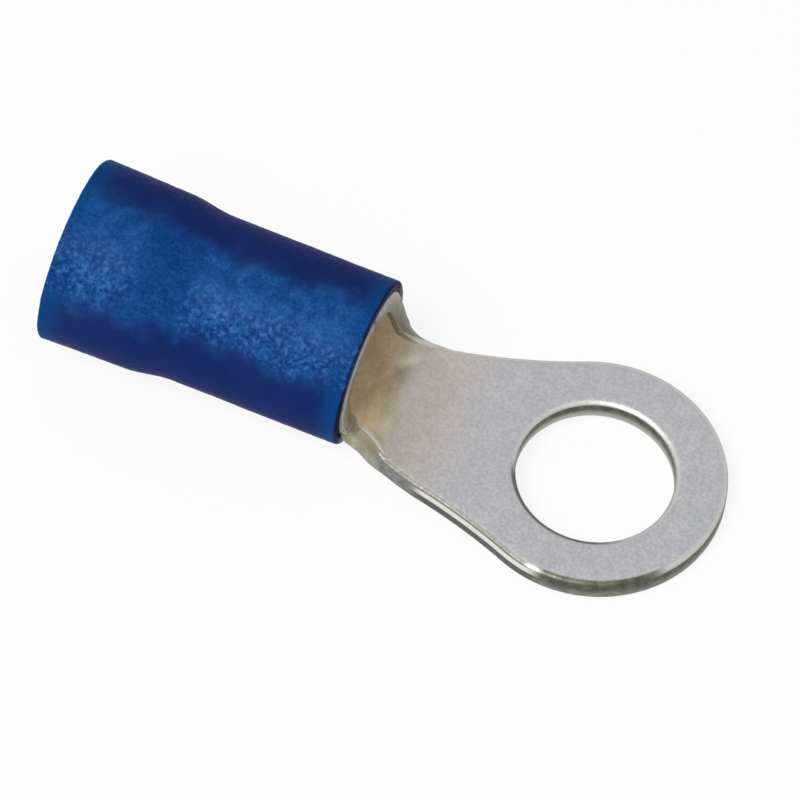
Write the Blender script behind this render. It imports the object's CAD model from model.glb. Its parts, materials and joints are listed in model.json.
# %% [markdown]
# # An insulated ring terminal
# The real thing is two pieces. One is a copper stamping, 0.8 mm thick and plated with matte tin:
# a flat ring tongue whose rear end is rolled up into a wire barrel. The other is a soft blue PVC
# sleeve that is pressed over the barrel. Nothing on it moves, so everything rides on one body.
# Lengths are written in millimetres, because that is how such a small part is drawn, and every
# mesh is turned into metres when it is made.

# %% Load the frame
import json
import math

import bmesh
import bpy
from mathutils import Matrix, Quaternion, Vector


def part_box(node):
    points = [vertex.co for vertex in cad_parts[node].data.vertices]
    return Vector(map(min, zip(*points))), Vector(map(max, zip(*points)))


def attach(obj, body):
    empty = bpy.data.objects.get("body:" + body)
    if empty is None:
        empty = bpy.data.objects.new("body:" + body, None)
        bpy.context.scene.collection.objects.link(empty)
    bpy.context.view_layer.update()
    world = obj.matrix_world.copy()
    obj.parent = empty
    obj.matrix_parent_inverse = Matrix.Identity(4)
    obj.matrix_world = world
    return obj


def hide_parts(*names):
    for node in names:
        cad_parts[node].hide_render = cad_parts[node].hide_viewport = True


MM = 0.001
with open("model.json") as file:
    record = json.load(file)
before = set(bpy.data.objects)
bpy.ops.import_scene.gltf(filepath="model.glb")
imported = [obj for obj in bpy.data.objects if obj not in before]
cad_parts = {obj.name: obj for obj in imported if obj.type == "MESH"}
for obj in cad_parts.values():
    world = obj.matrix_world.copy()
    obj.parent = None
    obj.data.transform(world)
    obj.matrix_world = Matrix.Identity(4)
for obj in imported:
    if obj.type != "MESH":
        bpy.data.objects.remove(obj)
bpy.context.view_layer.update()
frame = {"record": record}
mounts = {mount["name"]: mount for mount in frame["record"]["mounts"]}

# %% [markdown]
# ## Sizes
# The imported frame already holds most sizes. The mounts give the stud hole, the sheet's thickness
# and the two bores, and the nodes' boxes give the ring's radius and where each piece starts and
# ends. Reading them from there, and not typing them again, keeps the looks on the real part.

# %% Sizes from the frame, in millimetres
def mount_size(name, key):
    return mounts[name]["dims"][key]


def box_mm(node):
    low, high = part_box(node)
    return low / MM, high / MM


body_low, body_high = box_mm("terminal_body")
sleeve_low, sleeve_high = box_mm("insulating_sleeve")
hole_r = mount_size("stud_hole", "r_mm")
stock_t = mount_size("stud_hole", "length_mm")
bore_r = mount_size("wire_barrel", "r_mm")
axis_z = mounts["wire_barrel"]["pos_m"][2] / MM
ring_r = body_high.x
barrel_r = bore_r + stock_t
mid_r = barrel_r - stock_t / 2
barrel_end_x = body_low.x
print("ring radius", round(ring_r, 3), "barrel radius", barrel_r, "axis height", axis_z)

# %% [markdown]
# ## Camera
# A long lens far away gives the flat perspective of a catalogue picture of a small part. The
# camera looks down on the part from the side of its near flank, and is rolled a little, so that
# the sleeve lies up and to the left and the ring down and to the right.

# %% Camera
LENS = 600
SENSOR = 36
VIEW_WIDTH = 26.5
AZIMUTH = 17.2
ELEVATION = 57.6
ROLL = 6.7
AIM = Vector((-7.01, 0, 0.53))


def direction(azimuth, elevation):
    """Unit vector towards a place on the sky. Azimuth 0 is over -Y and 90 over +X."""
    turn, rise = math.radians(azimuth), math.radians(elevation)
    return Vector((math.sin(turn) * math.cos(rise), -math.cos(turn) * math.cos(rise), math.sin(rise)))


def add_camera():
    data = bpy.data.cameras.new("camera")
    data.lens = LENS
    data.sensor_width = SENSOR
    data.clip_start = 0.01
    data.clip_end = 5
    camera = bpy.data.objects.new("camera", data)
    bpy.context.scene.collection.objects.link(camera)
    towards = direction(AZIMUTH, ELEVATION)
    distance = VIEW_WIDTH * LENS / SENSOR
    camera.rotation_mode = "QUATERNION"
    level = (-towards).to_track_quat("-Z", "Y")
    camera.rotation_quaternion = level @ Quaternion((0, 0, 1), math.radians(ROLL))
    camera.location = (AIM + towards * distance) * MM
    bpy.context.scene.camera = camera
    return camera


camera = add_camera()
print("camera", [round(v, 4) for v in camera.location])

# %% [markdown]
# ## Colour management
# The Standard view shows a colour about as it is written in a material, which suits a plain
# studio picture better than a film-like curve.

# %% View transform
scene = bpy.context.scene
scene.view_settings.view_transform = "Standard"


def linear(r, g, b):
    """Colour written as on a screen, 0 to 255, turned into the linear values that shaders use."""
    def one(v):
        v /= 255
        return v / 12.92 if v <= 0.04045 else ((v + 0.055) / 1.055) ** 2.4
    return (one(r), one(g), one(b), 1)


print("mid grey is", round(linear(188, 188, 188)[0], 3))

# %% [markdown]
# ## Node helpers
# Materials and geometry are both built from nodes, so a few small helpers keep the trees short:
# one adds a node and fills its sockets, one wires two sockets, and one makes a group with named
# inputs and outputs.

# %% Node helpers
def add_node(tree, kind, settings=None, **inputs):
    """Add a node. Settings are its own properties, and inputs are numbers or sockets to wire in."""
    node = tree.nodes.new(kind)
    for key, value in (settings or {}).items():
        setattr(node, key, value)
    for name, value in inputs.items():
        plug(tree, node, name.replace("_", " "), value)
    return node


def plug(tree, node, name, value):
    socket = node.inputs[int(name[3:]) if name.startswith("in ") else name]
    if isinstance(value, bpy.types.NodeSocket):
        tree.links.new(value, socket)
    else:
        socket.default_value = value


def math_node(tree, operation, a, b=0.0):
    return add_node(tree, "ShaderNodeMath", {"operation": operation}, in_0=a, in_1=b).outputs[0]


def multiply(tree, first, *others):
    """Product of numbers or masks."""
    for other in others:
        first = math_node(tree, "MULTIPLY", first, other)
    return first


def mix_colours(tree, factor, a, b, blend="MIX"):
    settings = {"data_type": "RGBA", "blend_type": blend}
    return add_node(tree, "ShaderNodeMix", settings, in_0=factor, in_6=a, in_7=b).outputs[2]


def scale_vector(tree, vector, factor):
    settings = {"operation": "SCALE"}
    return add_node(tree, "ShaderNodeVectorMath", settings, in_0=vector, Scale=factor).outputs[0]


def add_vectors(tree, a, b):
    return add_node(tree, "ShaderNodeVectorMath", {"operation": "ADD"}, in_0=a, in_1=b).outputs[0]


def remap(tree, value, low, high, to_low=0.0, to_high=1.0):
    """Map a range smoothly onto another one, and hold the ends."""
    node = add_node(tree, "ShaderNodeMapRange", {"interpolation_type": "SMOOTHSTEP"}, Value=value,
                    From_Min=low, From_Max=high, To_Min=to_low, To_Max=to_high)
    return node.outputs["Result"]


def between(tree, value, start, full, last, end):
    """1 between full and last, and falling to 0 at start and end."""
    return multiply(tree, remap(tree, value, start, full), remap(tree, value, last, end, 1.0, 0.0))


print("node helpers ready")

# %% Groups and materials
def new_group(name, inputs, outputs, kind="ShaderNodeTree"):
    """A node group whose sockets are listed as (name, type, default)."""
    tree = bpy.data.node_groups.new(name, kind)
    for label, socket, default in inputs:
        made = tree.interface.new_socket(label, in_out="INPUT", socket_type="NodeSocket" + socket)
        if default is not None:
            made.default_value = default
    for label, socket in outputs:
        tree.interface.new_socket(label, in_out="OUTPUT", socket_type="NodeSocket" + socket)
    return tree, tree.nodes.new("NodeGroupInput").outputs, tree.nodes.new("NodeGroupOutput")


def place_group(tree, group, **inputs):
    return add_node(tree, "ShaderNodeGroup", {"node_tree": group}, **inputs)


def new_material(name):
    """An empty material with a Principled BSDF wired to its output."""
    material = bpy.data.materials.new(name)
    material.use_nodes = True
    tree = material.node_tree
    tree.nodes.clear()
    shader = tree.nodes.new("ShaderNodeBsdfPrincipled")
    output = tree.nodes.new("ShaderNodeOutputMaterial")
    tree.links.new(shader.outputs[0], output.inputs[0])
    return material, tree, shader, output


print("group and material helpers ready")

# %% [markdown]
# ## Floor
# The part can't stand, so it lies as it comes to rest: on the lower edge of the ring's tip and on
# the front edge of the sleeve. Its frame stays level, so the floor is tilted to touch those two
# places, a hair below them. The floor is white. What the camera, a glossy surface or glass sees
# of it is mostly a flat white, with a share of the real lit floor mixed in, which keeps a soft
# shadow.

# %% Floor
FLOOR_HALF = 600
SHADOW_SHARE = 0.12
FLOOR_DROP = 0.01
SLEEVE_FIT = 0.02
SLEEVE_WALL = 0.33

seat_r = barrel_r + SLEEVE_FIT
front_r = seat_r + SLEEVE_WALL
touch_tip = Vector((ring_r, 0, 0))
touch_sleeve = Vector((sleeve_high.x, 0, axis_z - front_r))
slope = (touch_tip.z - touch_sleeve.z) / (touch_tip.x - touch_sleeve.x)


def seen_directly(tree):
    """1 for rays from the camera, a glossy surface or glass, and 0 for the light that objects get."""
    path = tree.nodes.new("ShaderNodeLightPath").outputs
    glossy = math_node(tree, "MAXIMUM", path["Is Glossy Ray"], path["Is Transmission Ray"])
    return math_node(tree, "MAXIMUM", path["Is Camera Ray"], glossy)


def add_floor():
    mesh = bpy.data.meshes.new("floor")
    corners = [(x * FLOOR_HALF, y * FLOOR_HALF) for x, y in ((-1, -1), (1, -1), (1, 1), (-1, 1))]
    points = [(x * MM, y * MM, ((x - touch_tip.x) * slope - FLOOR_DROP) * MM) for x, y in corners]
    mesh.from_pydata(points, [], [(0, 1, 2, 3)])
    floor = bpy.data.objects.new("floor", mesh)
    scene.collection.objects.link(floor)
    material, tree, shader, output = new_material("floor_white")
    shader.inputs["Base Color"].default_value = (0.95, 0.95, 0.95, 1)
    shader.inputs["Roughness"].default_value = 0.9
    shader.inputs["Specular IOR Level"].default_value = 0
    flat = add_node(tree, "ShaderNodeEmission", Color=(1, 1, 1, 1), Strength=1.0)
    share = multiply(tree, seen_directly(tree), 1 - SHADOW_SHARE)
    mixed = add_node(tree, "ShaderNodeMixShader")
    tree.links.new(share, mixed.inputs[0])
    tree.links.new(shader.outputs[0], mixed.inputs[1])
    tree.links.new(flat.outputs[0], mixed.inputs[2])
    tree.links.new(mixed.outputs[0], output.inputs[0])
    mesh.materials.append(material)
    return floor


add_floor()
print("floor slope in degrees", round(math.degrees(math.atan(slope)), 2))

# %% [markdown]
# ## Light
# One large softbox hangs near the camera, a little above it and towards the sleeve's end. It
# gives the sleeve a broad light band along its crown and leaves both flanks deep blue, and it
# lights the near edge of the stamping. A dim even world fills the rest.

# %% Lamps and world
KEY_LEVEL = 0.72
FILL_LEVEL = 0.38


def add_softbox(name, azimuth, elevation, distance, size, level, colour):
    """A square lamp. At level 1 a white surface that faces it renders as white."""
    data = bpy.data.lights.new(name, "AREA")
    data.shape = "SQUARE"
    data.size = size * MM
    data.energy = level * (math.pi * distance * MM) ** 2
    data.color = colour
    lamp = bpy.data.objects.new(name, data)
    towards = direction(azimuth, elevation)
    lamp.location = (AIM + towards * distance) * MM
    lamp.rotation_mode = "QUATERNION"
    lamp.rotation_quaternion = (-towards).to_track_quat("-Z", "Y")
    scene.collection.objects.link(lamp)
    return lamp


def add_world():
    world = bpy.data.worlds.new("studio")
    world.use_nodes = True
    tree = world.node_tree
    tree.nodes.clear()
    backdrop = add_node(tree, "ShaderNodeBackground", Color=(1, 1, 1, 1), Strength=1.0)
    fill = add_node(tree, "ShaderNodeBackground", Color=(0.97, 0.97, 1, 1), Strength=FILL_LEVEL)
    mixed = add_node(tree, "ShaderNodeMixShader")
    output = tree.nodes.new("ShaderNodeOutputWorld")
    tree.links.new(seen_directly(tree), mixed.inputs[0])
    tree.links.new(fill.outputs[0], mixed.inputs[1])
    tree.links.new(backdrop.outputs[0], mixed.inputs[2])
    tree.links.new(mixed.outputs[0], output.inputs[0])
    scene.world = world


add_softbox("key", -25, 58, 300, 130, KEY_LEVEL, (1, 1, 0.95))
add_world()
print("key level", KEY_LEVEL, "fill level", FILL_LEVEL)

# %% [markdown]
# ## The stamping
# The terminal is one sheet of constant thickness, so it is modelled as the sheet's middle surface
# and thickened afterwards, which gives the same wall everywhere as in a real bent part. The
# surface has three fields that share their edges: the ring tongue, the throat and the barrel.
# The measures of the throat follow the same rules as in the part's source.

# %% Measures of the stamping
NECK_W = 5.16
NECK_X = 6.6
FLANK_ANGLE = math.radians(9.7)
RAMP_L = 1.05
WING_ANGLE = math.radians(117)
WING_FOOT_R = 0.95
RIM_STAND_OUT = 0.05

neck_y = NECK_W / 2
rim_x = sleeve_high.x + RIM_STAND_OUT
throat_l = -NECK_X - rim_x
flank_r = (NECK_X**2 + neck_y**2 - ring_r**2) / (
    2 * (ring_r - NECK_X * math.sin(FLANK_ANGLE) - neck_y * math.cos(FLANK_ANGLE)))
flank_c = Vector((-NECK_X - flank_r * math.sin(FLANK_ANGLE), neck_y + flank_r * math.cos(FLANK_ANGLE)))


def smooth(u):
    return u * u * (3 - 2 * u)


def mix(a, b, u):
    return a + (b - a) * u


def flank_y(x):
    """Half width of the tongue where its side is a flank."""
    return flank_c.y - math.sqrt(flank_r**2 - (x - flank_c.x) ** 2)


def floor_height(x):
    return mix(axis_z - mid_r, stock_t / 2, smooth(min(1, max(0, x - rim_x) / RAMP_L)))


print("flank radius", round(flank_r, 2), "rim at x", round(rim_x, 2))

# %% [markdown]
# ### The wings
# The two wings of the throat are not quite alike, because the blank was rolled a little askew. The
# one on the near side is cut lower and runs out further forward. Each wing falls along its own
# slope, and a fillet leads it up into the barrel's front rim. The slopes are kept by side, -1 at
# -Y and 1 at +Y, as the angle at the rim, the length of the run and the power of its curve. The
# rolling tool has also spread the sheet a little where the wings end, so the neck swells there.

# %% Wings
WING_SLOPES = {-1: (math.radians(74), 2.85, 1.45), 1: (math.radians(100), 2.3, 1.5)}
RIM_FILLET_L = 0.35
LIFT_X = 5.3
NECK_SWELL = {-1: 0.12, 1: 0.06}
SWELL_X = -6.75
SWELL_RUN = 0.5
FOOT_CURVE = 2.7


def wrap_angle(x, side):
    """Angle that the sheet wraps round from the floor to the edge of the wing on that side."""
    start, run, power = WING_SLOPES[side]
    reach = max(0, x - rim_x)
    slope = start * max(0, 1 - reach / run) ** power
    fillet = (1 - math.sqrt(min(1, reach / RIM_FILLET_L))) ** 2
    return slope + (WING_ANGLE - start) * fillet


def section_measures(x, side):
    """Wrap, radius at the foot of the wing, and half of the flat floor at x."""
    wrap = wrap_angle(x, side)
    share = min(1, max(0, x - rim_x) / throat_l)
    foot_r = mix(mid_r, WING_FOOT_R, share**FOOT_CURVE)
    outer_y = flank_y(x) if x > -NECK_X else mix(barrel_r, neck_y, share)
    outer_y += NECK_SWELL[side] * math.exp(-(((x - SWELL_X) / SWELL_RUN) ** 2))
    return wrap, foot_r, outer_y - (stock_t / 2 + foot_r) * math.sin(min(wrap, math.pi / 2))


def half_length(x, side):
    """Length along the section from the middle of the floor to the edge of the wing."""
    wrap, foot_r, floor_half = section_measures(x, side)
    return floor_half + foot_r * wrap


for side in (-1, 1):
    print("wing at the neck:", round(math.degrees(wrap_angle(-NECK_X, side)), 1), "degrees")

# %% [markdown]
# ### Room for the rounded edges
# A press leaves soft arrises, and they are part of the wall's edge. The middle surface therefore
# stops short of the real outline by the radius of the arris, and the edge strip that is added
# afterwards reaches the outline. For the tongue that is only a change of the radii. The wings
# have a free curve for an edge, so there the distance is kept by rolling a small circle along it.

# %% Outline, less the arris
ARRIS_R = 0.26
EDGE_SAMPLES = 900


def wing_edge(side):
    """Samples (x, length along the section) of the free edge, from the rim to past its flat end."""
    for k in range(EDGE_SAMPLES + 1):
        x = mix(rim_x, -LIFT_X + 2 * ARRIS_R, (k / EDGE_SAMPLES) ** 2)
        yield x, half_length(x, side)


edge_samples = {side: list(wing_edge(side)) for side in WING_SLOPES}


def inset_length(x, side):
    """Half length of the section at x, less the arris."""
    return min(length - math.sqrt(ARRIS_R**2 - (at - x) ** 2)
               for at, length in edge_samples[side] if abs(at - x) <= ARRIS_R)


def outline_distance(angle):
    """Distance from the hole's centre to the tongue's outline in that direction, less the arris."""
    ray = Vector((math.cos(angle), math.sin(angle)))
    if abs(angle) <= tangent_angle:
        return ring_r - ARRIS_R
    if -ray.x * neck_inset_y > abs(ray.y) * LIFT_X - 1e-9:
        return LIFT_X / -ray.x
    middle = ray.dot(Vector((flank_c.x, math.copysign(flank_c.y, ray.y))))
    return middle - math.sqrt(middle**2 - flank_c.length_squared + (flank_r + ARRIS_R) ** 2)


tangent_angle = math.atan2(flank_c.y, flank_c.x)
neck_inset_y = inset_length(-LIFT_X, 1)
print("half width where the throat starts, less the arris:", round(neck_inset_y, 3))

# %% [markdown]
# ### The three fields
# Rays run out from the centre of the stud hole to the tongue's outline, and behind the neck they
# end on the neck's straight line. The tongue's last ring of vertices starts the throat, whose rows
# crowd towards the barrel, where the sheet turns fastest. The throat's last row starts the barrel,
# which goes on round from the wings to the seam at the top. The two edges of the seam butt against
# each other with a hair of a gap, as in a rolled barrel.

# %% Columns and rays
HALF_COLUMNS = 18
FLANK_RAYS = 26
RING_RAYS = 130

column_shares = [k / HALF_COLUMNS for k in range(-HALF_COLUMNS, HALF_COLUMNS + 1)]


def spread(start, end, count):
    """Even steps from start up to, but not including, end."""
    return [mix(start, end, k / count) for k in range(count)]


def ray_angles():
    """Angles of the rays, from the neck's +Y end round the ring to its -Y end, then along the neck."""
    corner = math.atan2(neck_inset_y, -LIFT_X)
    neck = [math.atan2(share * neck_inset_y, -LIFT_X) for share in column_shares[:-1]]
    return (spread(corner, tangent_angle, FLANK_RAYS) + spread(tangent_angle, -tangent_angle, RING_RAYS)
            + spread(-tangent_angle, -corner, FLANK_RAYS) + neck)


def join_rows(mesh, row, next_row, closed=False):
    """Fill the strip between two rows of vertices with quads."""
    count = len(row)
    for k in range(count if closed else count - 1):
        after = (k + 1) % count
        mesh.faces.new((row[k], next_row[k], next_row[after], row[after]))


print("columns across the sheet:", len(column_shares), "rays:", len(ray_angles()))

# %% Tongue
RING_ROWS = 8


def add_tongue(mesh):
    """Rings of vertices from the stud hole out to the outline. Returns those on the neck's line."""
    angles = ray_angles()
    rings = []
    for row in range(RING_ROWS + 1):
        reach = [mix(hole_r + ARRIS_R, outline_distance(angle), row / RING_ROWS) for angle in angles]
        rings.append([mesh.verts.new((r * math.cos(a), r * math.sin(a), stock_t / 2))
                      for r, a in zip(reach, angles)])
    for inner, outer in zip(rings, rings[1:]):
        join_rows(mesh, inner, outer, closed=True)
    return rings[-1][FLANK_RAYS * 2 + RING_RAYS:] + rings[-1][:1]


sheet = bmesh.new()
neck = add_tongue(sheet)
print("tongue:", len(sheet.faces), "faces")

# %% Throat
THROAT_ROWS = 40
ROW_CROWDING = 1.8

front_x = rim_x - ARRIS_R


def throat_point(x, share):
    """Point of the middle surface at x, where share runs from -1 to 1 across the sheet."""
    side = -1 if share < 0 else 1
    _, foot_r, floor_half = section_measures(x, side)
    length = WING_ANGLE * mid_r if x == front_x else inset_length(x, side)
    along = abs(share) * length
    angle = max(0, along - floor_half) / foot_r
    y = min(along, floor_half) + foot_r * math.sin(angle)
    return Vector((x, side * y, floor_height(x) + foot_r * (1 - math.cos(angle))))


def add_throat(mesh, neck):
    """Rows of the sheet's section from the neck back to the barrel's front. Returns the last row."""
    row = neck
    for step in range(THROAT_ROWS - 1, -1, -1):
        x = mix(front_x, -LIFT_X, (step / THROAT_ROWS) ** ROW_CROWDING)
        made = [mesh.verts.new(throat_point(x, share)) for share in column_shares]
        join_rows(mesh, row, made)
        row = made
    return row


front = add_throat(sheet, neck)
print("tongue and throat:", len(sheet.faces), "faces")

# %% Barrel
BARREL_ROWS = 30
SEAM_COLUMNS = 10
SEAM_GAP = 0.02
SEAM_SHARE = 0.3


def add_barrel(mesh, front):
    """The throat's last row, continued to the seam on both sides, and its copies along the barrel."""
    seam = math.pi - (SEAM_GAP / 2 + ARRIS_R * SEAM_SHARE) / mid_r
    side = spread(-seam, -WING_ANGLE, SEAM_COLUMNS)
    angles = side + [share * WING_ANGLE for share in column_shares] + [-a for a in reversed(side)]

    def vertex(x, angle):
        return mesh.verts.new((x, mid_r * math.sin(angle), axis_z - mid_r * math.cos(angle)))

    row = [vertex(front_x, a) for a in side] + front + [vertex(front_x, -a) for a in reversed(side)]
    for step in range(1, BARREL_ROWS + 1):
        made = [vertex(mix(front_x, barrel_end_x + ARRIS_R, step / BARREL_ROWS), a) for a in angles]
        join_rows(mesh, row, made)
        row = made


add_barrel(sheet, front)
bmesh.ops.recalc_face_normals(sheet, faces=sheet.faces)
if next(iter(sheet.faces)).normal.z < 0:
    bmesh.ops.reverse_faces(sheet, faces=sheet.faces)
print("middle surface:", len(sheet.faces), "faces")

# %% [markdown]
# ### A pressed part is never quite straight
# The tongue stands a little askew to the barrel. It is turned about the stud hole, so the ring
# stays where it is, and the sheet takes up the turn just in front of the throat's ramp.

# %% Turn of the tongue
LEAN = math.radians(2.1)
LEAN_START_X = -6.95
LEAN_RUN = 1.15


def lean(mesh):
    for vertex in mesh.verts:
        share = smooth(min(1, max(0, (vertex.co.x - LEAN_START_X) / LEAN_RUN)))
        vertex.co.rotate(Quaternion((0, 0, 1), LEAN * share))


lean(sheet)
print("tongue's rear moved sideways by", round(LIFT_X * math.sin(LEAN), 2), "mm")

# %% [markdown]
# ### The wall and its sheared edge
# Each face of the middle surface gives a face on both sides of the wall. Along every free edge
# goes a strip with a broad shallow arris at its top, where the punch draws the sheet in, a
# straight sheared band and a smaller arris at its bottom. Two attributes are kept at the vertices,
# so that one material can tell the places apart. One is the share of shearing, 1 on the band and
# fading over the arrises. The other is the height in the wall, 1 on the upper face, which is the
# inside of the barrel, and 0 on the lower one.

# %% Profile of the edge
ARRIS_STEPS = 5
ARRIS_DROP = 0.15
LOWER_R = 0.12


def edge_profile():
    """(outwards, upwards, share of shearing) over the edge, from the upper face to the lower one."""
    half = stock_t / 2
    turns = [math.pi / 2 * k / ARRIS_STEPS for k in range(1, ARRIS_STEPS + 1)]
    upper = [(ARRIS_R * math.sin(a), half - ARRIS_DROP * (1 - math.cos(a)), math.sin(a)) for a in turns]
    lower = [(ARRIS_R - LOWER_R * (1 - math.sin(a)), LOWER_R * (1 - math.cos(a)) - half, math.sin(a))
             for a in reversed(turns)]
    return upper + lower


print("edge profile:", len(edge_profile()), "points")

# %% Free edges
def border_loops(mesh):
    """Closed loops of vertices round the free edges, with the sheet on the left of each."""
    following = {}
    for edge in mesh.edges:
        if edge.is_boundary:
            loop = edge.link_loops[0]
            following[loop.vert] = loop.link_loop_next.vert
    while following:
        start, vertex = next(iter(following.items()))
        loop = [start]
        del following[start]
        while vertex is not start:
            loop.append(vertex)
            vertex = following.pop(vertex)
        yield loop


def tightness(start, end):
    """The rounding is narrower along the seam, which is straight, along X and on top of the barrel."""
    along = end.co - start.co
    on_seam = start.co.z > axis_z and abs(along.x) > 0.999 * along.length
    return SEAM_SHARE if on_seam else 1.0


def outward(before, at, after):
    """Step in the surface, away from the sheet, mitred where the border turns."""
    first = (at.co - before.co).cross(at.normal).normalized()
    second = (after.co - at.co).cross(at.normal).normalized()
    shares = tightness(before, at), tightness(at, after)
    if shares[0] != shares[1]:
        return first * shares[0] + second * shares[1]
    return (first + second) / (1 + first.dot(second)) * shares[0]


print("free edges, by number of points:", [len(loop) for loop in border_loops(sheet)])

# %% Wall
def add_edge(wall, upper, lower, loop, shearing, inner):
    """Strip along one border, between the upper and the lower face of the wall."""
    profile = edge_profile()
    rows = []
    for k, at in enumerate(loop):
        away = outward(loop[k - 1], at, loop[(k + 1) % len(loop)])
        row = [upper[at]]
        for out, up, share in profile:
            row.append(wall.verts.new(at.co + away * out + at.normal * up))
            row[-1][shearing] = share
            row[-1][inner] = 0.5 + up / stock_t
        rows.append(row + [lower[at]])
    for row, next_row in zip(rows, rows[1:] + rows[:1]):
        join_rows(wall, next_row, row)


def thicken(mesh):
    """Bmesh of the wall round a middle surface."""
    mesh.normal_update()
    wall = bmesh.new()
    shearing = wall.verts.layers.float.new("sheared")
    inner = wall.verts.layers.float.new("inner")
    upper, lower = ({v: wall.verts.new(v.co + v.normal * way * stock_t / 2) for v in mesh.verts}
                    for way in (1, -1))
    for vertex in upper.values():
        vertex[inner] = 1.0
    for face in mesh.faces:
        wall.faces.new([upper[v] for v in face.verts])
        wall.faces.new([lower[v] for v in reversed(face.verts)])
    for loop in border_loops(mesh):
        add_edge(wall, upper, lower, loop, shearing, inner)
    mesh.free()
    return wall


def mesh_object(mesh, name):
    """Turn a bmesh in millimetres into a smooth object in metres."""
    bmesh.ops.recalc_face_normals(mesh, faces=mesh.faces)
    bmesh.ops.scale(mesh, vec=(MM, MM, MM), verts=mesh.verts)
    for face in mesh.faces:
        face.smooth = True
    data = bpy.data.meshes.new(name)
    mesh.to_mesh(data)
    mesh.free()
    piece = bpy.data.objects.new(name, data)
    scene.collection.objects.link(piece)
    return piece


terminal = mesh_object(thicken(sheet), "terminal_stamping")
print("stamping:", len(terminal.data.polygons), "faces")

# %% [markdown]
# ## Shared shader groups
# Both finishes need a fine surface grain and a soft blotchiness. Each is a node group with named
# inputs, so that each material can set its own grain size and strength.

# %% Grain and blotches
def sized_noise(tree, size, detail, roughness=0.6):
    """Soft noise whose waves are about as long as the size, in millimetres."""
    place = tree.nodes.new("ShaderNodeTexCoord").outputs["Object"]
    vector = scale_vector(tree, place, math_node(tree, "DIVIDE", 1 / MM, size))
    return add_node(tree, "ShaderNodeTexNoise", Vector=vector,
                    Scale=1.0, Detail=detail, Roughness=roughness).outputs[0]


def make_grain_group():
    """Bump normal and a 0 to 1 height from fine noise."""
    tree, given, out = new_group(
        "fine_grain",
        [("Size", "Float", 0.1), ("Height", "Float", 0.01), ("Detail", "Float", 3.0)],
        [("Normal", "Vector"), ("Value", "Float")])
    noise = sized_noise(tree, given["Size"], given["Detail"])
    bump = add_node(tree, "ShaderNodeBump", Strength=1.0, Height=noise,
                    Distance=multiply(tree, given["Height"], MM))
    tree.links.new(bump.outputs[0], out.inputs["Normal"])
    tree.links.new(noise, out.inputs["Value"])
    return tree


def make_blotch_group():
    """Two colours mixed by soft noise."""
    tree, given, out = new_group(
        "blotches",
        [("Size", "Float", 1.0), ("First", "Color", None), ("Second", "Color", None)],
        [("Color", "Color")])
    share = remap(tree, sized_noise(tree, given["Size"], 3.0), 0.35, 0.65)
    tree.links.new(mix_colours(tree, share, given["First"], given["Second"]), out.inputs["Color"])
    return tree


fine_grain = make_grain_group()
blotches = make_blotch_group()
print("groups:", fine_grain.name, blotches.name)

# %% [markdown]
# ## Finding a place on the part
# No picture is wrapped round the part: every change of colour is tied to a place on it. A mask is
# a number from 0 to 1 that grows from one place to another, along the part, round the hole or
# through the wall, and a few of them multiplied pick out one small region.

# %% Masks and tones
def object_axes(tree):
    """Object coordinates as three numbers."""
    place = tree.nodes.new("ShaderNodeTexCoord").outputs["Object"]
    return add_node(tree, "ShaderNodeSeparateXYZ", Vector=place).outputs


def ramp(tree, value, start, end):
    """0 at start and 1 at end, both in millimetres."""
    return remap(tree, value, start * MM, end * MM)


def ramp_along_x(tree, start, end):
    return ramp(tree, object_axes(tree)["X"], start, end)


def between_degrees(tree, angle, *degrees):
    """Mask of an angle in radians, from the four ends of its range in degrees."""
    return between(tree, angle, *[math.radians(degree) for degree in degrees])


def blotchy(tree, size, first, second):
    """Colour that wavers between two tones, in blotches of the size in millimetres."""
    tones = {"First": linear(*first), "Second": linear(*second)}
    return place_group(tree, blotches, Size=size, **tones).outputs["Color"]


def as_grey(tree, value):
    return add_node(tree, "ShaderNodeCombineColor", Red=value, Green=value, Blue=value).outputs[0]


print("masks and tones ready")

# %% [markdown]
# ## Tin plate
# Matte tin is a pale grey with a sandy look: its crystals scatter light, so it has no clear
# reflection. It is cool on the ring and turns warmer towards the throat. There the rolling tool
# has worked the plating and stained it, so the inside is tan and the outside a greenish grey.
# One material covers it all, because the tones run into each other, and it is built in parts.
# The pairs below are the ends of the masks in millimetres, from the hole's axis or along the part.

# %% Places on the stamping
HOLE_BORDER = 3.2, 3.0
COOL_TO_WARM = -3.6, -6.6
BEND = -6.7, -7.4
RAMP = -7.3, -7.9
BEND_SKEW = 0.12


def vertex_share(tree, name):
    """A share that is kept at the piece's vertices."""
    return add_node(tree, "ShaderNodeAttribute", {"attribute_name": name}).outputs["Fac"]


def facing(tree):
    """Direction that the surface faces, seen from above, in radians from +X."""
    normal = tree.nodes.new("ShaderNodeNewGeometry").outputs["Normal"]
    part = add_node(tree, "ShaderNodeSeparateXYZ", Vector=normal).outputs
    return math_node(tree, "ARCTAN2", part["Y"], part["X"])


def round_the_hole(tree):
    """Distance from the hole's axis, and the angle round it in radians from +X."""
    part = object_axes(tree)
    squares = [multiply(tree, part[name], part[name]) for name in "XY"]
    distance = math_node(tree, "SQRT", math_node(tree, "ADD", *squares))
    return distance, math_node(tree, "ARCTAN2", part["Y"], part["X"])


def askew(tree):
    """Distance along the part, measured square to the bend, which is a little askew."""
    part = object_axes(tree)
    return math_node(tree, "ADD", part["X"], multiply(tree, part["Y"], BEND_SKEW))


print("the plate starts to bend at x", BEND[0], "and the ramp starts at", RAMP[0])

# %% [markdown]
# ### Rolled faces
# The upper face of the tongue and everything inside the throat and the bore are the plate as it
# was rolled. The tan is deepest at the bend, and a little darker up the far wall than on the floor.

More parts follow.
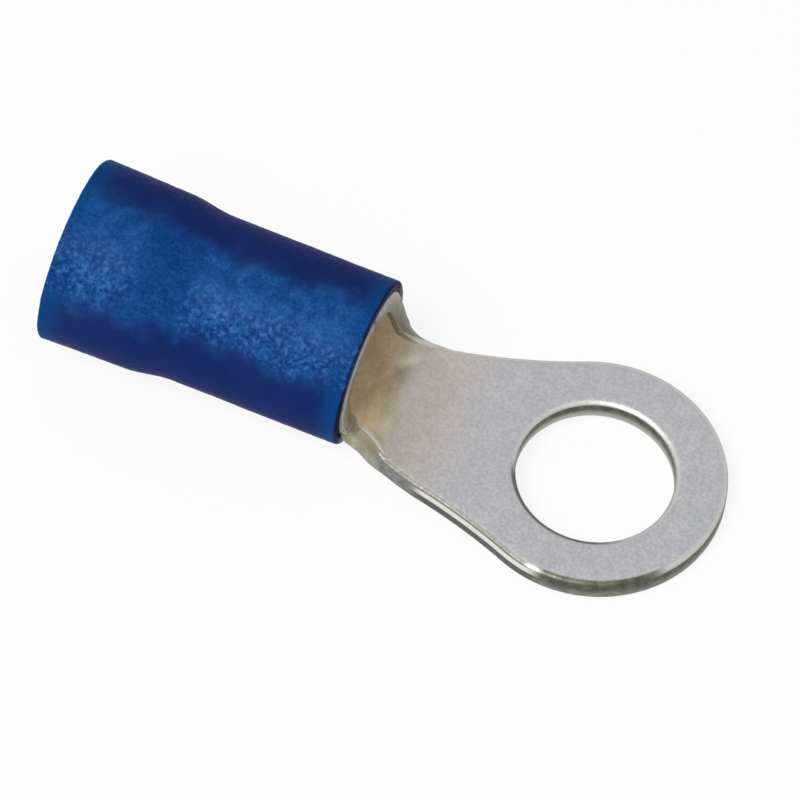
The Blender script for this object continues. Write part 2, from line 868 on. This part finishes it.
# %% Colours of the rolled faces
def stained_inside(tree):
    """Tan of the throat and the bore."""
    floor = blotchy(tree, 0.6, (240, 220, 184), (250, 232, 198))
    far_wall = blotchy(tree, 0.6, (222, 206, 172), (236, 220, 188))
    bend = blotchy(tree, 0.5, (180, 168, 144), (194, 182, 160))
    deep = mix_colours(tree, ramp(tree, object_axes(tree)["Y"], 0.3, 1.5), floor, far_wall)
    return mix_colours(tree, ramp(tree, askew(tree), *RAMP), bend, deep)


def rolled_colour(tree, bend):
    """Colour of both rolled faces. The mask is 0 on the tongue and 1 past the bend."""
    cool = blotchy(tree, 0.7, (172, 173, 178), (179, 177, 180))
    warm = blotchy(tree, 0.9, (172, 165, 157), (180, 173, 168))
    outside = blotchy(tree, 0.4, (136, 134, 112), (166, 162, 140))
    tongue = mix_colours(tree, ramp_along_x(tree, *COOL_TO_WARM), cool, warm)
    worked = mix_colours(tree, vertex_share(tree, "inner"), outside, stained_inside(tree))
    return mix_colours(tree, bend, tongue, worked)


print("rolled faces ready")

# %% [markdown]
# ### Sheared faces
# The punch leaves a torn, dull band round the ring, darkest towards the top. On the two flanks the
# tool has rubbed the upper half of the band bright and left the lower half dark. Beside the neck
# the band is plain grey, and along the wings and the barrel's rim it is stained brown.

# %% Colours of the sheared faces
NECK_GREY = -4.8, -5.8
FLANK_END = -5.6, -4.8
RIM_STAIN = -6.4, -7.3
FLANK_TURN = 90, 100
HOLE_WALL = 3.0, 2.8


def on_the_flanks(tree, distance, turn):
    """Mask of the two concave flanks between the ring and the neck."""
    behind = remap(tree, math_node(tree, "ABSOLUTE", turn), *[math.radians(a) for a in FLANK_TURN])
    return multiply(tree, behind, ramp(tree, distance, *reversed(HOLE_BORDER)),
                    ramp_along_x(tree, *FLANK_END))


def sheared_colour(tree, distance, turn):
    """Colour of the sheared band on the ring, in the hole, on the flanks, neck and rim."""
    height = vertex_share(tree, "inner")
    upper = blotchy(tree, 0.3, (76, 80, 70), (98, 101, 90))
    lower = blotchy(tree, 0.3, (112, 114, 104), (134, 135, 124))
    band = mix_colours(tree, remap(tree, height, 0.2, 0.7), lower, upper)
    grey = blotchy(tree, 0.25, (112, 114, 114), (146, 146, 148))
    band = mix_colours(tree, ramp_along_x(tree, *NECK_GREY), band, grey)
    flank = on_the_flanks(tree, distance, turn)
    band = mix_colours(tree, flank, band, linear(88, 89, 87))
    rubbed = multiply(tree, flank, remap(tree, height, 0.5, 0.62))
    band = mix_colours(tree, rubbed, band, linear(230, 228, 222))
    low_in_hole = multiply(tree, ramp(tree, distance, *HOLE_WALL), remap(tree, height, 0.6, 0.2))
    band = mix_colours(tree, low_in_hole, band, linear(172, 172, 164))
    bare = blotchy(tree, 0.3, (140, 138, 114), (170, 166, 144))
    bare = mix_colours(tree, remap(tree, height, 0.3, 0.6), bare, linear(136, 124, 96))
    return mix_colours(tree, ramp_along_x(tree, *RIM_STAIN), band, bare)


print("sheared faces ready")

# %% [markdown]
# ### Arrises
# An arris turns through every direction, so a strong lamp always finds a bright line on it. A real
# worn arris is partly dull. Each stretch of it is picked by the direction that it faces.

# %% Tones of the arrises
FLANK_ARRIS = -175, -165, -102, -92
HOLE_ARRIS = 10, 30, 110, 140
DULL_ARRIS = -102, -92, -44, -32


def arris_colour(tree, in_hole, outside):
    """Tone of the rolled-over arris, darker along the near flank and in the hole's near rim."""
    away = facing(tree)
    on_flank = multiply(tree, between_degrees(tree, away, *FLANK_ARRIS), outside)
    in_rim = multiply(tree, between_degrees(tree, away, *HOLE_ARRIS), in_hole)
    tone = mix_colours(tree, on_flank, linear(190, 190, 186), linear(112, 111, 108))
    return mix_colours(tree, in_rim, tone, linear(104, 103, 98))


def sheared_mask(tree, sheared, outside):
    """1 on the sheared band, and on the arris where the near side of the ring is dull."""
    dull = multiply(tree, between_degrees(tree, facing(tree), *DULL_ARRIS), outside,
                    remap(tree, sheared, 0.05, 0.45))
    return math_node(tree, "MAXIMUM", remap(tree, sheared, 0.9, 0.99), dull)


print("arrises ready")

# %% [markdown]
# ### The whole plate
# The grain gives the sandy look twice: as a small bump, and as a faint speckle of the colour. Deep
# in the throat the plate isn't metallic in the shader, because a metal there would only mirror the
# dark bore, and real stained tin scatters the light that falls in.

# %% Tin plate
def tin_material():
    material, tree, shader, _ = new_material("tinned_copper")
    distance, turn = round_the_hole(tree)
    in_hole = ramp(tree, distance, *HOLE_BORDER)
    outside = math_node(tree, "SUBTRACT", 1.0, in_hole)
    sheared = vertex_share(tree, "sheared")
    bend = ramp(tree, askew(tree), *BEND)
    grain = place_group(tree, fine_grain, Size=0.11, Height=0.008, Detail=2.0).outputs
    speck = as_grey(tree, remap(tree, grain["Value"], 0.3, 0.7, 0.92, 1.08))
    colour = mix_colours(tree, 1.0, rolled_colour(tree, bend), speck, "MULTIPLY")
    arris = arris_colour(tree, in_hole, outside)
    colour = mix_colours(tree, remap(tree, sheared, 0.25, 0.55), colour, arris)
    band = sheared_mask(tree, sheared, outside)
    colour = mix_colours(tree, band, colour, sheared_colour(tree, distance, turn))
    plug(tree, shader, "Base Color", colour)
    plug(tree, shader, "Roughness", remap(tree, grain["Value"], 0.3, 0.7, 0.38, 0.5))
    plug(tree, shader, "Metallic", remap(tree, bend, 0.0, 1.0, 0.9, 0.0))
    plug(tree, shader, "Normal", grain["Normal"])
    return material


def dress(piece, material, node):
    """Give a finished piece its material, its body and the node that it stands for."""
    piece.data.materials.clear()
    piece.data.materials.append(material)
    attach(piece, "root")
    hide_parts(node)


dress(terminal, tin_material(), "terminal_body")
print(terminal.name, "dressed")

# %% [markdown]
# ## The sleeve
# The sleeve is a soft PVC moulding, turned round the barrel's axis. Its section follows a rule, so
# it is made by Geometry Nodes as a lathe. The section comes first, as a closed loop: the outer
# skin from the mouth to the front, then the bore back again, with rounded edges at both ends.

# %% Section of the sleeve
MOUTH_WALL = 0.45
MOUTH_L = 3
WIDENING_L = 1.7
MOUTH_SWELL = 0.08
EDGE_R = 0.12
ROW_STEP = 0.062
EDGE_STEPS = 5
BORE_ROWS = 36

mouth_r = mount_size("insulation_entry", "r_mm")
rear_r = mouth_r + MOUTH_WALL


def widening(distance):
    """0 at the mouth and 1 past the widening, at a distance from the mouth's end."""
    return smooth(min(1, max(0, distance - MOUTH_L) / WIDENING_L))


def outer_radius(distance):
    if distance < MOUTH_L:
        return mix(rear_r + MOUTH_SWELL, rear_r, distance / MOUTH_L)
    return mix(rear_r, front_r, widening(distance))


def quarter(centre, start):
    """Points of a quarter turn of the edge radius, clockwise from the angle start."""
    turns = [math.radians(start - 90 * k / EDGE_STEPS) for k in range(EDGE_STEPS + 1)]
    return [(centre[0] + EDGE_R * math.cos(a), centre[1] + EDGE_R * math.sin(a)) for a in turns]


def sleeve_section():
    """Closed loop of (distance from the mouth's end, radius, share of grain)."""
    length = sleeve_high.x - sleeve_low.x
    rows = round((length - 2 * EDGE_R) / ROW_STEP)
    outside = [mix(EDGE_R, length - EDGE_R, k / rows) for k in range(1, rows)]
    points = [(x, r, 1) for x, r in quarter((EDGE_R, outer_radius(0) - EDGE_R), 180)]
    points += [(x, outer_radius(x), 1) for x in outside]
    points += [(x, r, 1) for x, r in quarter((length - EDGE_R, front_r - EDGE_R), 90)]
    points += [(x, mix(mouth_r, seat_r, widening(x)), 0) for x in spread(length, 0, BORE_ROWS)]
    points.append((0, mouth_r, 0))
    return points + points[:1]


def section_object(points):
    mesh = bpy.data.meshes.new("sleeve_section")
    mesh.from_pydata([((sleeve_low.x + x) * MM, r * MM, share) for x, r, share in points], [], [])
    return bpy.data.objects.new("sleeve_section", mesh)


section = section_object(sleeve_section())
print("section:", len(section.data.vertices), "points, radius", round(front_r, 2), "to", round(rear_r, 2))

# %% [markdown]
# ### The pebbled grain
# The mould's texture is fine pebbles with narrow valleys. Rounded cells give them their shape, a
# noise bends the cells so that no row shows, and a second noise makes the pebbles unequal. A slow
# wave of the outer skin keeps the long sides from being dead straight.

# %% Height of the pebbles
def pebble_height(tree, position, given):
    """Height in metres of the pebbled grain, plus the slow wave."""
    shift = add_node(tree, "ShaderNodeCombineXYZ", X=given["Seed"], Y=given["Seed"], Z=given["Seed"])
    scaled = scale_vector(tree, position, math_node(tree, "DIVIDE", 1.0, given["Grain size"]))
    moved = add_vectors(tree, scaled, shift.outputs[0])
    warp = add_node(tree, "ShaderNodeTexNoise", Vector=moved, Scale=0.9, Detail=1.0)
    bent = add_vectors(tree, moved, warp.outputs[1])
    cells = add_node(tree, "ShaderNodeTexVoronoi", {"feature": "SMOOTH_F1"}, Vector=bent, Scale=1.0)
    fine = add_node(tree, "ShaderNodeTexNoise", Vector=moved, Scale=2.2, Detail=1.0)
    pebble = math_node(tree, "SUBTRACT", fine.outputs[0], cells.outputs["Distance"])
    slow = add_node(tree, "ShaderNodeTexNoise", Vector=position, Scale=420.0, Detail=1.0)
    wave = multiply(tree, math_node(tree, "SUBTRACT", slow.outputs[0], 0.5), given["Waviness"])
    return math_node(tree, "ADD", multiply(tree, pebble, given["Grain height"]), wave)


print("pebbles ready")

# %% [markdown]
# ### The lathe
# A flat grid is rolled up: each of its rows takes its place along the axis and its radius from one
# point of the section, and each of its columns takes an angle. The two borders are then merged,
# which closes the ring, and only the outer skin is pushed in and out by the grain.

# %% Lathe
def grid_cell(tree, columns):
    """Row of a grid's point in the section, and its angle round the axis in radians."""
    index = tree.nodes.new("GeometryNodeInputIndex").outputs[0]
    row = math_node(tree, "DIVIDE", math_node(tree, "ADD", index, 0.5), columns)
    row = math_node(tree, "FLOOR", row)
    column = math_node(tree, "SUBTRACT", index, multiply(tree, row, columns))
    turn = math_node(tree, "DIVIDE", column, math_node(tree, "SUBTRACT", columns, 1.0))
    return row, multiply(tree, turn, 2 * math.pi)


def rolled_up(tree, grid, given, position):
    """The grid as a closed skin, with the share of grain kept at its points."""
    row, turn = grid_cell(tree, given["Columns"])
    profile = add_node(tree, "GeometryNodeObjectInfo", Object=given["Section"])
    sample = add_node(tree, "GeometryNodeSampleIndex", {"data_type": "FLOAT_VECTOR"},
                      Geometry=profile.outputs["Geometry"], Value=position, Index=row)
    part = add_node(tree, "ShaderNodeSeparateXYZ", Vector=sample.outputs[0]).outputs
    across = multiply(tree, part["Y"], math_node(tree, "SINE", turn))
    up = multiply(tree, part["Y"], math_node(tree, "COSINE", turn))
    up = math_node(tree, "ADD", up, given["Axis height"])
    place = add_node(tree, "ShaderNodeCombineXYZ", X=part["X"], Y=across, Z=up)
    marked = add_node(tree, "GeometryNodeStoreNamedAttribute", {"data_type": "FLOAT", "domain": "POINT"},
                      Geometry=grid, Name="skin", Value=part["Z"])
    rolled = add_node(tree, "GeometryNodeSetPosition", Geometry=marked.outputs[0], Position=place.outputs[0])
    return add_node(tree, "GeometryNodeMergeByDistance", Geometry=rolled.outputs[0], Distance=1e-7).outputs[0]


def lathe_tree():
    tree, given, out = new_group(
        "pebbled_lathe",
        [("Section", "Object", None), ("Rows", "Int", 8), ("Columns", "Int", 8),
         ("Axis height", "Float", 0.0), ("Grain size", "Float", 0.0002),
         ("Grain height", "Float", 0.00001), ("Waviness", "Float", 0.00001),
         ("Seed", "Float", 0.0), ("Finish", "Material", None)],
        [("Geometry", "Geometry")], "GeometryNodeTree")
    grid = add_node(tree, "GeometryNodeMeshGrid", Size_X=1.0, Size_Y=1.0,
                    Vertices_X=given["Rows"], Vertices_Y=given["Columns"])
    position = tree.nodes.new("GeometryNodeInputPosition").outputs[0]
    closed = rolled_up(tree, grid.outputs["Mesh"], given, position)
    skin = add_node(tree, "GeometryNodeInputNamedAttribute", {"data_type": "FLOAT"}, Name="skin").outputs[0]
    normal = tree.nodes.new("GeometryNodeInputNormal").outputs[0]
    push = scale_vector(tree, normal, multiply(tree, pebble_height(tree, position, given), skin))
    grained = add_node(tree, "GeometryNodeSetPosition", Geometry=closed, Offset=push)
    soft = add_node(tree, "GeometryNodeSetShadeSmooth", Geometry=grained.outputs[0])
    solid = add_node(tree, "GeometryNodeRealizeInstances", Geometry=soft.outputs[0])
    finished = add_node(tree, "GeometryNodeSetMaterial", Geometry=solid.outputs[0], Material=given["Finish"])
    tree.links.new(finished.outputs[0], out.inputs[0])
    return tree


lathe = lathe_tree()
print("lathe inputs:", [item.name for item in lathe.interface.items_tree if item.in_out == "INPUT"])

# %% [markdown]
# ## PVC
# The sleeve is dyed through, so its colour is a deep navy. A lighter bloom with an uneven border
# lies on its crown, and both ends are a greener blue, where no metal lies behind the wall. The
# bloom is calm at the waist, where the sleeve widens, and it breaks up into light flecks and dark
# pits low on the near side. The gloss is low.

# %% Places on the sleeve
BLOOM_TURN = math.radians(27)
LOW_SIDE = -68, -54, -38, -12
WAIST = -16.9, -15.4, -14.7, -13.6
WOBBLE_SIZE = 0.9


def turn_from_top(tree):
    """Angle round the barrel's axis in radians, 0 at the top and negative towards -Y."""
    part = object_axes(tree)
    up = math_node(tree, "SUBTRACT", part["Z"], axis_z * MM)
    return math_node(tree, "ARCTAN2", part["Y"], up)


def from_bloom(tree, turn):
    """Angle from the middle of the bloom, to either side."""
    return math_node(tree, "ABSOLUTE", math_node(tree, "ADD", turn, BLOOM_TURN))


def bloom_mask(tree):
    """The light bloom on the crown, with an uneven border and a wider end at the mouth."""
    wobble = remap(tree, sized_noise(tree, WOBBLE_SIZE, 4.0, 0.5), 0.25, 0.75, -0.14, 0.14)
    away = from_bloom(tree, math_node(tree, "ADD", turn_from_top(tree), wobble))
    narrowing = remap(tree, object_axes(tree)["X"], -17 * MM, -14.5 * MM, 0.82, 1.0)
    return remap(tree, multiply(tree, away, narrowing), math.radians(17), math.radians(43), 1.0, 0.0)


def waist_mask(tree):
    return between(tree, object_axes(tree)["X"], *[x * MM for x in WAIST])


def low_side_mask(tree, bloom, waist):
    """The lower border of the bloom on the near side, fainter at the waist."""
    low = between_degrees(tree, turn_from_top(tree), *LOW_SIDE)
    return multiply(tree, low, bloom, remap(tree, waist, 0.0, 1.0, 1.0, 0.25))


print("the bloom lies", round(math.degrees(BLOOM_TURN)), "degrees from the top")

# %% Colour of the PVC
ENDS_SHARE = 0.8
WAIST_SHARE = 0.75
FLECK_SHARE = 0.62
PIT_SHARE = 0.7
PEBBLE_SIZE = 0.16


def ends_mask(tree):
    mouth = ramp_along_x(tree, sleeve_low.x + 1.1, sleeve_low.x + 0.2)
    front = ramp_along_x(tree, sleeve_high.x - 0.9, sleeve_high.x - 0.2)
    return math_node(tree, "MAXIMUM", mouth, front)


def dyed_colour(tree, bloom, waist):
    """Navy, with the bloom, the ends, the dark front face and the waist."""
    navy = blotchy(tree, 1.3, (22, 42, 98), (27, 44, 104))
    azure = blotchy(tree, 0.5, (20, 66, 128), (32, 84, 148))
    colour = mix_colours(tree, bloom, navy, azure)
    colour = mix_colours(tree, multiply(tree, ends_mask(tree), ENDS_SHARE), colour, linear(12, 68, 130))
    front_face = ramp_along_x(tree, sleeve_high.x - 0.1, sleeve_high.x - 0.02)
    colour = mix_colours(tree, front_face, colour, linear(16, 22, 62))
    return mix_colours(tree, multiply(tree, waist, bloom, WAIST_SHARE), colour, linear(15, 60, 120))


def flecked(tree, colour, low_side):
    """Light flecks on the pebbles' tops and dark pits between them."""
    pebble = place_group(tree, fine_grain, Size=PEBBLE_SIZE, Height=0.0, Detail=1.0).outputs["Value"]
    fleck = multiply(tree, remap(tree, pebble, 0.54, 0.68), low_side, FLECK_SHARE)
    pit = multiply(tree, remap(tree, pebble, 0.47, 0.36), low_side, PIT_SHARE)
    colour = mix_colours(tree, fleck, colour, linear(70, 110, 176))
    return mix_colours(tree, pit, colour, linear(12, 40, 98))


print("colour of the PVC ready")

# %% [markdown]
# ### Gloss of the PVC
# The skin is soft and a little clear, and light that comes back from just under it keeps the dye's
# colour, so the highlight is tinted blue. The navy sides beside the bloom hardly shine at all, and
# the far side and the underside keep a plain moulded sheen.

# %% PVC
PLAIN_SHEEN = 2.2


def sheen(tree, bloom, waist):
    """Level of the highlight: 1 on the bloom, less at the waist, and the plain sheen far from it."""
    on_bloom = multiply(tree, bloom, remap(tree, waist, 0.0, 1.0, 1.0, 0.1))
    far = remap(tree, from_bloom(tree, turn_from_top(tree)), math.radians(84), math.radians(110))
    return math_node(tree, "ADD", on_bloom, multiply(tree, far, PLAIN_SHEEN))


def pvc_material():
    material, tree, shader, _ = new_material("blue_pvc")
    bloom = bloom_mask(tree)
    waist = waist_mask(tree)
    grain = place_group(tree, fine_grain, Size=0.1, Height=0.02, Detail=2.0).outputs
    speck = as_grey(tree, remap(tree, grain["Value"], 0.32, 0.68, 0.78, 1.22))
    speck = mix_colours(tree, bloom, (1, 1, 1, 1), speck)
    colour = mix_colours(tree, 1.0, dyed_colour(tree, bloom, waist), speck, "MULTIPLY")
    plug(tree, shader, "Base Color", flecked(tree, colour, low_side_mask(tree, bloom, waist)))
    level = remap(tree, sheen(tree, bloom, waist), 0.0, PLAIN_SHEEN, 0.01, 0.23)
    plug(tree, shader, "Specular IOR Level", level)
    shader.inputs["Specular Tint"].default_value = (0.3, 0.5, 1.0, 1.0)
    plug(tree, shader, "Roughness", remap(tree, grain["Value"], 0.3, 0.7, 0.34, 0.46))
    plug(tree, shader, "Normal", grain["Normal"])
    return material


pvc = pvc_material()
print("material:", pvc.name)

# %% [markdown]
# ## The finished sleeve
# The lathe runs once, on an empty object. Its result is kept as a plain mesh, and the modifier is
# dropped, so that nothing is worked out again when the part is handed on.

# %% Sleeve
COLUMNS = 301
GRAIN_HEIGHT = 0.016
WAVINESS = 0.05
SEED = 3.0


def bake(piece):
    """Replace the mesh by the evaluated one and drop the modifiers."""
    graph = bpy.context.evaluated_depsgraph_get()
    data = bpy.data.meshes.new_from_object(piece.evaluated_get(graph))
    piece.modifiers.clear()
    piece.data = data


def add_sleeve(material):
    piece = bpy.data.objects.new("pvc_sleeve", bpy.data.meshes.new("pvc_sleeve"))
    scene.collection.objects.link(piece)
    roll = piece.modifiers.new("lathe", "NODES")
    roll.node_group = lathe
    values = {"Section": section, "Rows": len(section.data.vertices), "Columns": COLUMNS,
              "Axis height": axis_z * MM, "Grain size": PEBBLE_SIZE * MM,
              "Grain height": GRAIN_HEIGHT * MM, "Waviness": WAVINESS * MM, "Seed": SEED,
              "Finish": material}
    for item in lathe.interface.items_tree:
        if item.in_out == "INPUT":
            roll[item.identifier] = values[item.name]
    bake(piece)
    return piece


sleeve = add_sleeve(pvc)
dress(sleeve, pvc, "insulating_sleeve")
print("sleeve:", len(sleeve.data.polygons), "faces")
